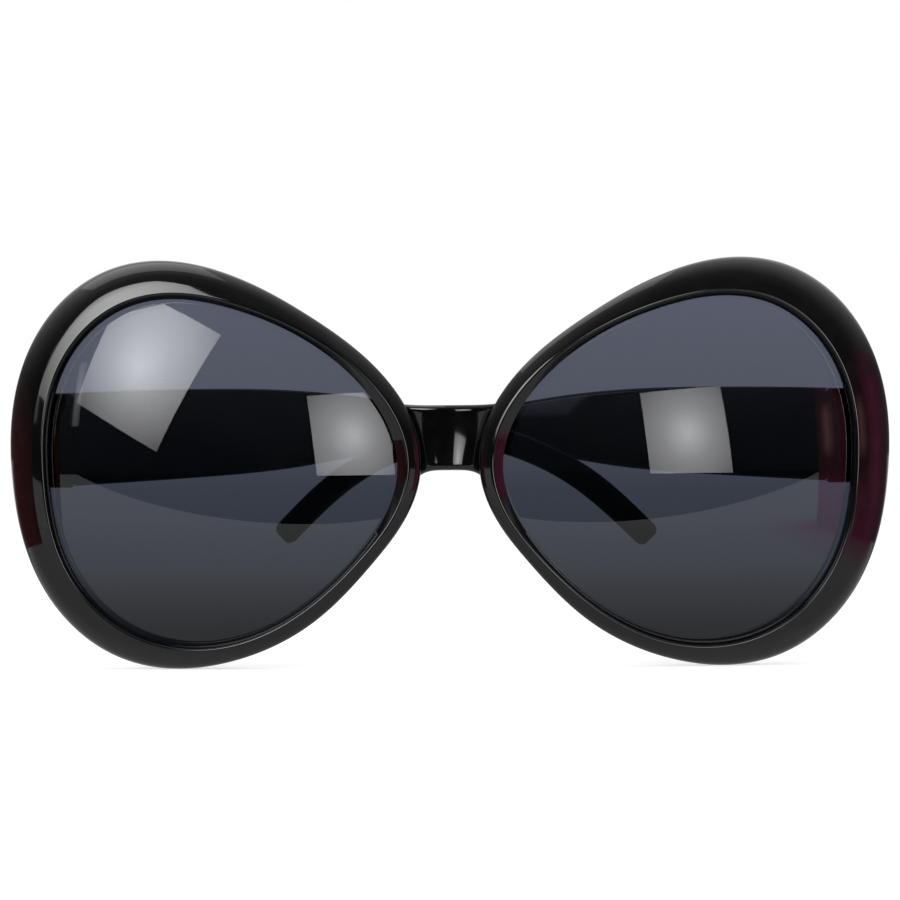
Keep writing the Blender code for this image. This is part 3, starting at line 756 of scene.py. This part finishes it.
def moulded_arm(word, side):
    step_share = 1 / ARM_STATIONS
    rings = []
    for along, drawn_in in arm_stations():
        share = max(0, along) / ARM_REACH
        before = max(0, share - step_share)
        after = share + step_share
        rise = ARM_DROP * arm_rise_share(share)
        climb = ARM_DROP * (arm_rise_share(after) - arm_rise_share(before))
        slope = math.atan(climb / (ARM_REACH * (after - before))) if along > 0 else 0
        half_height = ARM_HEIGHT / 2 * arm_height_share(share) - drawn_in
        flat_thickness = ARM_THICKNESS - (ARM_THICKNESS - ARM_TIP_THICKNESS) * share
        thickness = flat_thickness - min(drawn_in, flat_thickness / 2)
        inner_face = STAND_OFF + (ARM_THICKNESS - thickness) / 2
        ring = []
        for up, out in arm_section(half_height, thickness):
            x = along - up * math.sin(slope)
            ring.append((-side * x, inner_face + out, rise + up * math.cos(slope)))
        rings.append(ring)
    made = lofted(f"moulded_arm_{word}", rings, closed=False)
    made.data.transform(hinge_place(word))
    keep_shape(made)
    made.data.materials.append(arm_finish)
    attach(made, f"{word}_arm")
    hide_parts(f"{word}_temple")


for word, side in SIDES.items():
    moulded_arm(word, side)


# The hinges: two stamped and rolled leaves on each side, nickel plated, with three barrels
# on one slotted screw. Their plating is worn a little, in darker patches here and there.

HINGE_BEVEL = 0.00006
HINGE_BEVEL_STEPS = 2
HINGE_BEVEL_ABOVE = math.radians(40)
FLAT_BELOW = math.radians(1)
MERGE_WITHIN = 0.0000001
PATCH_PATTERN = (700, 4)
GRAIN_PATTERN = (2500, 3)
PATCH_RANGE = (0.45, 0.75)
GRAIN_STRENGTH = 0.25
GRAIN_HEIGHT = 0.00001


def plated_metal(name, colour, dark_colour, roughness_range, grain):
    """Plated metal with a fine rolled grain and darker patches."""
    made, tree, shader = new_material(name)
    shader.inputs["Metallic"].default_value = 1.0
    patches = between(tree, noise(tree, PATCH_PATTERN), 0.0, 1.0, *PATCH_RANGE)
    tree.links.new(colour_mix(tree, patches, colour, dark_colour), shader.inputs["Base Color"])
    rolled = noise(tree, GRAIN_PATTERN, stretch=grain)
    tree.links.new(between(tree, rolled, *roughness_range), shader.inputs["Roughness"])
    bumped(tree, shader, rolled, GRAIN_STRENGTH, GRAIN_HEIGHT)
    return made


NICKEL = (0.46, 0.45, 0.43)
DULL_NICKEL = (0.30, 0.28, 0.25)
NICKEL_ROUGHNESS = (0.18, 0.38)
NICKEL_GRAIN = (1, 1, 0.1)
STEEL = (0.56, 0.55, 0.54)
DULL_STEEL = (0.36, 0.35, 0.33)
STEEL_ROUGHNESS = (0.16, 0.34)
STEEL_GRAIN = (1, 1, 1)
hinge_finish = plated_metal("nickel plate", NICKEL, DULL_NICKEL, NICKEL_ROUGHNESS, NICKEL_GRAIN)
screw_finish = plated_metal("turned steel", STEEL, DULL_STEEL, STEEL_ROUGHNESS, STEEL_GRAIN)


def eased_copy(node, name, body_name, finish):
    """The same metal piece with its edges eased and its barrels smooth."""
    mesh = frame["nodes"][node].data.copy()
    body = bmesh.new()
    body.from_mesh(mesh)
    bmesh.ops.remove_doubles(body, verts=body.verts, dist=MERGE_WITHIN)
    bmesh.ops.dissolve_limit(body, angle_limit=FLAT_BELOW, verts=body.verts, edges=body.edges)
    body.to_mesh(mesh)
    body.free()
    made = add_object(name, mesh)
    bevel = made.modifiers.new("eased edges", "BEVEL")
    bevel.width = HINGE_BEVEL
    bevel.segments = HINGE_BEVEL_STEPS
    bevel.limit_method = "ANGLE"
    bevel.angle_limit = HINGE_BEVEL_ABOVE
    keep_shape(made)
    made.data.materials.clear()
    made.data.materials.append(finish)
    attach(made, body_name)
    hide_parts(node)


for word in SIDES:
    leaves = {
        f"{word}_front_hinge": (f"hinge_leaf_front_{word}", "front"),
        f"{word}_temple_hinge": (f"hinge_leaf_arm_{word}", f"{word}_arm"),
    }
    for node, (name, body_name) in leaves.items():
        eased_copy(node, name, body_name, hinge_finish)
    eased_copy(f"{word}_hinge_screw", f"slotted_screw_{word}", "front", screw_finish)


# The leaf screws: eight small countersunk steel screws with a cross recess, two to each
# leaf, driven into the plastic. One turned screw is set in every seat of a body.

SCREW_RADIUS = 0.00045
SCREW_LENGTH = 0.0030
SCREW_HEAD_RADIUS = 0.00085
SCREW_HEAD_HEIGHT = 0.0004
SCREW_CLEARANCE = 0.00012
SCREW_POINT_LENGTH = 0.0004
SCREW_POINT_RADIUS = 0.00015
SCREW_SPREAD = 0.0040
SCREW_SIDES = 32
RECESS_WIDTH = 0.00022
RECESS_REACH = 0.00058
RECESS_DEPTH = 0.0003
RECESS_FLOOR_SHARE = 0.5
LEAF_THICKNESS = 0.0008
LEAF_INNER = KNUCKLE_RADIUS - LEAF_THICKNESS
LEAF_MIDDLE = STAND_OFF + LEAF_LENGTH / 2


def cross_screw():
    """A countersunk screw along +Z, head at the origin, with a cross cut in its head."""
    profile = [
        (SCREW_HEAD_RADIUS, SCREW_CLEARANCE),
        (SCREW_RADIUS, SCREW_HEAD_HEIGHT + SCREW_CLEARANCE),
        (SCREW_RADIUS, SCREW_LENGTH - SCREW_POINT_LENGTH),
        (SCREW_POINT_RADIUS, SCREW_LENGTH),
    ]
    angles = [math.tau * step / SCREW_SIDES for step in range(SCREW_SIDES)]
    rings = []
    for radius, height in profile:
        rings.append([(radius * math.cos(a), radius * math.sin(a), height) for a in angles])
    made = lofted("cross screw", rings, closed=False)
    floor_z = SCREW_CLEARANCE + RECESS_DEPTH
    for long_x, long_y in ((RECESS_REACH, RECESS_WIDTH / 2), (RECESS_WIDTH / 2, RECESS_REACH)):
        tool_rings = []
        for z, narrow in ((0, 1), (floor_z, RECESS_FLOOR_SHARE)):
            x, y = long_x * narrow, long_y * narrow
            tool_rings.append([(-x, -y, z), (x, -y, z), (x, y, z), (-x, y, z)])
        combine(made, lofted("recess", tool_rings, closed=False), "DIFFERENCE")
    return made


def screws_tree(screw):
    """Set a screw on every point, turned to the point's own direction."""
    tree, entry, leave = new_tree("screws in their seats", {})
    source = tree.nodes.new("GeometryNodeObjectInfo")
    source.inputs["Object"].default_value = screw
    direction = tree.nodes.new("GeometryNodeInputNamedAttribute")
    direction.data_type = "FLOAT_VECTOR"
    direction.inputs["Name"].default_value = "driven along"
    turn = tree.nodes.new("FunctionNodeAlignRotationToVector")
    turn.axis = "Z"
    place = tree.nodes.new("GeometryNodeInstanceOnPoints")
    tree.links.new(entry.outputs["Geometry"], place.inputs["Points"])
    tree.links.new(source.outputs["Geometry"], place.inputs["Instance"])
    tree.links.new(direction.outputs["Attribute"], turn.inputs["Vector"])
    tree.links.new(turn.outputs["Rotation"], place.inputs["Rotation"])
    end_tree(tree, place.outputs["Instances"], entry, leave)
    return tree


def leaf_screws(name, seats, tree, body_name, nodes):
    """All the leaf screws of one body. A seat is a matrix and the way it faces."""
    mesh = bpy.data.meshes.new(name)
    points = []
    directions = []
    for place, facing in seats:
        side = 1 if place.translation.x > 0 else -1
        for up in (SCREW_SPREAD / 2, -SCREW_SPREAD / 2):
            points.append(place @ Vector((-side * LEAF_MIDDLE, facing * LEAF_INNER, up)))
            directions.append(place.to_3x3() @ Vector((0, facing, 0)))
    mesh.from_pydata(points, [], [])
    driven = mesh.attributes.new("driven along", "FLOAT_VECTOR", "POINT")
    for item, direction in zip(driven.data, directions):
        item.vector = direction
    made = add_object(name, mesh)
    run_tree(made, tree, {"Finish": screw_finish})
    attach(made, body_name)
    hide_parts(*nodes)


screw = cross_screw()
set_screws = screws_tree(screw)
front_seats = []
front_nodes = []
for word, side in SIDES.items():
    front_seats.append((Matrix.Translation((side * HINGE_X, HINGE_Y, 0)), -1))
    front_nodes += [f"{word}_front_screw_upper", f"{word}_front_screw_lower"]
    arm_seats = [(hinge_place(word), 1)]
    arm_nodes = [f"{word}_temple_screw_upper", f"{word}_temple_screw_lower"]
    leaf_screws(f"leaf_screws_arm_{word}", arm_seats, set_screws, f"{word}_arm", arm_nodes)
leaf_screws("leaf_screws_front", front_seats, set_screws, "front", front_nodes)
bpy.data.objects.remove(screw)


# The studio: a seamless pale floor, a white surround behind and above, and a low coloured card
# on each side that only the gloss picks up. Two softboxes stand in front, a small one hangs
# above on the left and a thin strip of light stands beside the large softbox.

FLOOR_HALF = 4.0
FLOOR_ALBEDO = 0.8
FLOOR_ROUGHNESS = 0.9
# What the floor adds for the eye alone, so that it shows white and keeps the shadow
FLOOR_LIFT = 0.62
# Gloss sees the floor up to an arc in front: its nearest point, its slope far out and its bend
BRIGHT_FLOOR_NEAR = 0.03
BRIGHT_FLOOR_SLOPE = 1.1
BRIGHT_FLOOR_BEND = 0.1
FLOOR_GREYS_FROM = -0.15
FLOOR_GREYS_TO = 0.6
# How white gloss and lenses show the floor: (place from front to back, 0 to 1, and grey). The
# dip to 0.25 just behind the glasses is a painted shadow of the glasses and arms on the floor.
FLOOR_GREYS = (
    (0.0, 0.72),
    (0.147, 0.55),
    (0.184, 0.55),
    (0.193, 0.7),
    (0.24, 0.8),
    (0.28, 0.25),
    (0.6, 0.7),
    (1.0, 1.0),
)
CARD_ACROSS = 0.150
CARD_SHEEN_WIDTH = 0.040
CARD_FADE = 0.028
MAGENTA = (0.70, 0.12, 0.30)
MAGENTA_FRONT = -0.100


def seen_mirrored(tree, rays):
    """1 where a reflection shows the surface, 0 for the eye, for plain light and through a lens."""
    through = rays.outputs["Is Transmission Ray"]
    glossy = math_node(tree, "SUBTRACT", rays.outputs["Is Glossy Ray"], through)
    return math_node(tree, "MAXIMUM", glossy, 0.0)


def card_sheen(tree, split, mirrored):
    """How much painted magenta glow from the card the floor beside it shows in reflections."""
    outwards = math_node(tree, "MULTIPLY", split.outputs["X"], SIDES["left"])
    near = between(tree, outwards, 0.0, 1.0, CARD_ACROSS - CARD_SHEEN_WIDTH, CARD_ACROSS)
    past_front = between(tree, split.outputs["Y"], 0.0, 1.0, MAGENTA_FRONT - CARD_FADE, MAGENTA_FRONT)
    before_back = between(tree, split.outputs["Y"], 1.0, 0.0, 0.0, CARD_FADE)
    along = math_node(tree, "MULTIPLY", past_front, before_back)
    return math_node(tree, "MULTIPLY", math_node(tree, "MULTIPLY", near, along), mirrored)


def show_mix(tree, factor, first, second):
    """Give a material's surface a mix of two shaders, by a factor."""
    mix = tree.nodes.new("ShaderNodeMixShader")
    for value, socket in zip((factor, first, second), mix.inputs):
        tree.links.new(value, socket)
    tree.links.new(mix.outputs["Shader"], tree.nodes["Material Output"].inputs["Surface"])


def studio_floor():
    """Pale paper. Gloss sees it bright only up to a curved edge in front of the glasses."""
    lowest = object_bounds()[0].z
    body = bmesh.new()
    corners = [(-1, -1), (1, -1), (1, 1), (-1, 1)]
    body.faces.new([body.verts.new((x * FLOOR_HALF, y * FLOOR_HALF, lowest)) for x, y in corners])
    made = object_from("studio_floor", body)
    finish, tree, shader = new_material("seamless paper")
    shader.inputs["Base Color"].default_value = (FLOOR_ALBEDO, FLOOR_ALBEDO, FLOOR_ALBEDO, 1)
    shader.inputs["Roughness"].default_value = FLOOR_ROUGHNESS
    shader.inputs["Specular IOR Level"].default_value = 0.0
    rays = tree.nodes.new("ShaderNodeLightPath")
    mirrored = seen_mirrored(tree, rays)
    through = rays.outputs["Is Transmission Ray"]
    split = split_place(tree)
    x_squared = math_node(tree, "MULTIPLY", split.outputs["X"], split.outputs["X"])
    spread = math_node(tree, "SQRT", math_node(tree, "ADD", x_squared, BRIGHT_FLOOR_BEND**2))
    reach = math_node(tree, "MULTIPLY", spread, BRIGHT_FLOOR_SLOPE)
    edge = math_node(tree, "ADD", reach, BRIGHT_FLOOR_NEAR)
    bright = math_node(tree, "GREATER_THAN", math_node(tree, "ADD", edge, split.outputs["Y"]), 0.0)
    # These greys carry a painted shadow of the glasses on the floor behind them, seen through the lenses
    along = between(tree, split.outputs["Y"], 0.0, 1.0, FLOOR_GREYS_FROM, FLOOR_GREYS_TO)
    grey = ramp_node(tree, along, FLOOR_GREYS)
    shown = tree.nodes.new("ShaderNodeEmission")
    # The floor beside the magenta card carries the card's painted glow
    tinted = colour_mix(tree, card_sheen(tree, split, mirrored), grey, MAGENTA)
    tree.links.new(tinted, shown.inputs["Color"])
    tree.links.new(math_node(tree, "MAXIMUM", bright, through), shown.inputs["Strength"])
    lifted = tree.nodes.new("ShaderNodeEmission")
    lift = math_node(tree, "MULTIPLY", rays.outputs["Is Camera Ray"], FLOOR_LIFT)
    tree.links.new(lift, lifted.inputs["Strength"])
    paper = tree.nodes.new("ShaderNodeAddShader")
    tree.links.new(shader.outputs["BSDF"], paper.inputs[0])
    tree.links.new(lifted.outputs["Emission"], paper.inputs[1])
    mirrored_or_through = math_node(tree, "MAXIMUM", mirrored, through)
    show_mix(tree, mirrored_or_through, paper.outputs["Shader"], shown.outputs["Emission"])
    made.data.materials.append(finish)
    made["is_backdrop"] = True


CARD_BACK = 0.120
CARD_BACK_FADE = 0.090
CARD_COLOUR_REACH = 0.2
BAND_BLEND = 0.009


def side_card(name, side, front, top, foot_colours, bands=()):
    """A low standing card that only reflections show, and that fades out upwards and behind.

    The foot's colours run from the front to the back. Each band above is the height where it
    starts, with its own colours.
    """
    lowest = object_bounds()[0].z
    body = bmesh.new()
    corners = [(front, lowest), (CARD_BACK, lowest), (CARD_BACK, top), (front, top)]
    body.faces.new([body.verts.new((side * CARD_ACROSS, y, z)) for y, z in corners])
    made = object_from(name, body)
    finish, tree, shader = new_material(name)
    tree.nodes.remove(shader)
    split = split_place(tree)
    glow = tree.nodes.new("ShaderNodeEmission")
    along = between(tree, split.outputs["Y"], 0.0, 1.0, front, front + CARD_COLOUR_REACH)
    shown = ramp_node(tree, along, foot_colours)
    for start, colours in bands:
        above = between(tree, split.outputs["Z"], 0.0, 1.0, start, start + BAND_BLEND)
        shown = colour_mix(tree, above, shown, ramp_node(tree, along, colours))
    tree.links.new(shown, glow.inputs["Color"])
    clear = tree.nodes.new("ShaderNodeBsdfTransparent")
    over = between(tree, split.outputs["Z"], 0.0, 1.0, top - CARD_FADE, top)
    behind = between(tree, split.outputs["Y"], 0.0, 1.0, CARD_BACK - CARD_BACK_FADE, CARD_BACK)
    faded = math_node(tree, "MAXIMUM", over, behind)
    show_mix(tree, faded, glow.outputs["Emission"], clear.outputs["BSDF"])
    made.data.materials.append(finish)
    made.visible_camera = False
    made.visible_diffuse = False
    made.visible_transmission = False
    made.visible_shadow = False
    made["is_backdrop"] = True


AMBIENT = (0.5, 0.5, 0.5)
BLACK = (0.0, 0.0, 0.0)
WHITE = (1.0, 1.0, 1.0)
# How white the surround is to gloss: (towards the back, 0 to 1, and grey)
SURROUND_GREYS = (
    (0.0, 0.02),
    (0.1, 0.1),
    (0.2, 0.22),
    (0.24, 0.35),
    (0.305, 0.52),
    (0.35, 0.65),
    (0.42, 0.78),
    (0.5, 1.0),
)
# Gloss sees less of it level with the glasses than above and below
SIDE_GREY_SHARE = 0.15
SIDE_LEVEL_RANGE = (0.45, 0.75)


def surround():
    """White to the eye and through the lenses. Gloss sees it white behind and dark in front."""
    world = bpy.data.worlds.new("studio surround")
    bpy.context.scene.world = world
    world.use_nodes = True
    tree = world.node_tree
    rays = tree.nodes.new("ShaderNodeLightPath")
    place = tree.nodes.new("ShaderNodeTexCoord")
    split = split_axes(tree, place.outputs["Generated"])
    towards_back = between(tree, split.outputs["Y"], 0.0, 1.0, -1.0, 1.0)
    grey = ramp_node(tree, towards_back, SURROUND_GREYS)
    across = math_node(tree, "ABSOLUTE", split.outputs["X"])
    up = math_node(tree, "ABSOLUTE", split.outputs["Z"])
    level = math_node(tree, "DIVIDE", across, math_node(tree, "ADD", across, up))
    shaded = between(tree, level, 1.0, SIDE_GREY_SHARE, *SIDE_LEVEL_RANGE)
    mirrored = colour_mix(tree, shaded, BLACK, grey)
    seen = math_node(tree, "MAXIMUM", rays.outputs["Is Camera Ray"], rays.outputs["Is Transmission Ray"])
    plain = colour_mix(tree, seen, AMBIENT, WHITE)
    shown = colour_mix(tree, seen_mirrored(tree, rays), plain, mirrored)
    tree.links.new(shown, tree.nodes["Background"].inputs["Color"])


CORNER_CUT_SLOPE = 0.63
CORNER_CUT_FROM = 0.74
GLOW_MIDDLE = (0.5, 0.5, 0)
GLOW_REACH = 0.71
GLOW_PLACES = (0.0, 0.42, 1.0)


def soft_lamp(name, place, size, turns, glow, glow_shares, top_gain=0.0, corner_cut=False):
    """A softbox. Its turns are round Z, X and Y, from facing the back of the studio.

    The glow is how bright its cloth is beside white paper. The shares are of this brightness, at
    the middle, two fifths out and at the corners. The top gain is by how much more than that the
    top glows, and the bottom less. A cut corner is the upper left one, which is masked.
    """
    data = bpy.data.lights.new(name, "AREA")
    data.shape = "RECTANGLE"
    data.size, data.size_y = size
    data.energy = glow * math.pi * data.size * data.size_y
    data.use_nodes = True
    tree = data.node_tree
    cloth = tree.nodes.new("ShaderNodeNewGeometry")
    split = split_axes(tree, cloth.outputs["Parametric"])
    middle = tree.nodes.new("ShaderNodeVectorMath")
    middle.operation = "DISTANCE"
    middle.inputs[1].default_value = GLOW_MIDDLE
    tree.links.new(cloth.outputs["Parametric"], middle.inputs[0])
    outwards = between(tree, middle.outputs["Value"], 0.0, 1.0, 0.0, GLOW_REACH)
    emission = tree.nodes["Emission"]
    glow_stops = list(zip(GLOW_PLACES, glow_shares))
    tree.links.new(ramp_node(tree, outwards, glow_stops), emission.inputs["Color"])
    strength = between(tree, split.outputs["Y"], 1.0 - top_gain, 1.0 + top_gain, 0.0, 1.0)
    if corner_cut:
        slant = math_node(tree, "MULTIPLY", split.outputs["X"], CORNER_CUT_SLOPE)
        height = math_node(tree, "SUBTRACT", split.outputs["Y"], slant)
        kept = math_node(tree, "LESS_THAN", height, CORNER_CUT_FROM)
        strength = math_node(tree, "MULTIPLY", strength, kept)
    tree.links.new(strength, emission.inputs["Strength"])
    made = add_object(name, data)
    turned = Matrix.Identity(4)
    for axis, degrees in zip("ZXY", turns):
        turned = turned @ Matrix.Rotation(math.radians(degrees), 4, axis)
    facing = Matrix.Rotation(math.pi / 2, 4, "X")
    made.matrix_world = Matrix.Translation(place) @ turned @ facing
    made.visible_camera = False


RED = (0.27, 0.05, 0.05)
RED_FRONT = -0.080
RED_TOP = 0.034
MAGENTA_TOP = 0.058
CARD_SHADE = (0.13, 0.12, 0.125)
# From front to back: a dark edge, the open sheet, and its shaded back
RED_SHEET = (
    (0.0, (0.10, 0.03, 0.02)),
    (0.15, RED),
    (0.5, RED),
    (0.8, CARD_SHADE),
)
MAGENTA_OPEN = (
    (0.15, (0.48, 0.08, 0.18)),
    (0.3, MAGENTA),
    (0.45, (0.47, 0.10, 0.22)),
    (0.56, (0.22, 0.11, 0.15)),
    (0.7, CARD_SHADE),
)
MAGENTA_FOOT = ((0.0, (0.55, 0.05, 0.17)),) + MAGENTA_OPEN
MAGENTA_SHEET = ((0.0, (0.16, 0.04, 0.05)), (0.09, (0.22, 0.05, 0.07))) + MAGENTA_OPEN
# A bright crease near the front edge, then a darker one
MAGENTA_FOLDS = (
    (0.018, (0.20, 0.06, 0.06)),
    (0.046, (1.0, 0.42, 0.42)),
    (0.068, (0.50, 0.20, 0.22)),
    (0.085, (0.21, 0.07, 0.10)),
) + MAGENTA_OPEN
# The height where each band of the magenta card starts, and its colours
MAGENTA_BANDS = (
    (-0.016, MAGENTA_SHEET),
    (-0.001, MAGENTA_FOLDS),
    (0.024, MAGENTA_SHEET),
)
LAMPS = (
    {
        "name": "softbox_upper_left",
        "place": (-1.222, -2.0, 0.858),
        "size": (0.981, 1.176),
        "turns": (-2.5, -25.9, 33.0),
        "glow": 10.9,
        "glow_shares": (1.0, 0.62, 0.22),
        "top_gain": 0.27,
        "corner_cut": True,
    },
    {
        "name": "softbox_right",
        "place": (0.536, -2.0, 0.258),
        "size": (0.641, 0.678),
        "turns": (0.0, 0.0, -6.5),
        "glow": 9.3,
        "glow_shares": (1.0, 0.56, 0.25),
    },
    {
        "name": "softbox_overhead",
        "place": (-0.23, 0.065, 0.45),
        "size": (0.42, 0.46),
        "turns": (0.0, -90.0, 0.0),
        "glow": 1.5,
        "glow_shares": (1.0, 0.9, 0.62),
    },
    {
        "name": "strip_light",
        "place": (-1.885, -2.0, 0.72),
        "size": (0.10, 0.62),
        "turns": (0.0, 0.0, 0.0),
        "glow": 2.0,
        "glow_shares": (1.0, 0.6, 0.2),
    },
)
studio_floor()
side_card("red_card", SIDES["right"], RED_FRONT, RED_TOP, RED_SHEET)
side_card("magenta_card", SIDES["left"], MAGENTA_FRONT, MAGENTA_TOP, MAGENTA_FOOT, MAGENTA_BANDS)
surround()
for lamp in LAMPS:
    soft_lamp(**lamp)


# The camera: straight in front of the glasses and level with the middle of the lenses, with
# its aim raised slightly and the picture rolled slightly, as in the photograph.

CAMERA_DISTANCE = 0.600
FIELD_WIDTH = 0.1629
SENSOR_WIDTH = 36.0
AIM_ABOVE_LENS = 0.0036
CAMERA_ROLL = math.radians(0.4)
CAMERA_NEAR = 0.01


def photo_camera():
    data = bpy.data.cameras.new("camera")
    data.sensor_width = SENSOR_WIDTH
    data.lens = SENSOR_WIDTH * CAMERA_DISTANCE / FIELD_WIDTH
    data.clip_start = CAMERA_NEAR
    made = add_object("camera", data)
    lift = math.atan(AIM_ABOVE_LENS / CAMERA_DISTANCE)
    place = Matrix.Translation((0, -CAMERA_DISTANCE, -LENS_DROP))
    turn = Matrix.Rotation(math.pi / 2 + lift, 4, "X") @ Matrix.Rotation(-CAMERA_ROLL, 4, "Z")
    made.matrix_world = place @ turn
    bpy.context.scene.camera = made


photo_camera()
bpy.context.scene.view_settings.view_transform = "Standard"
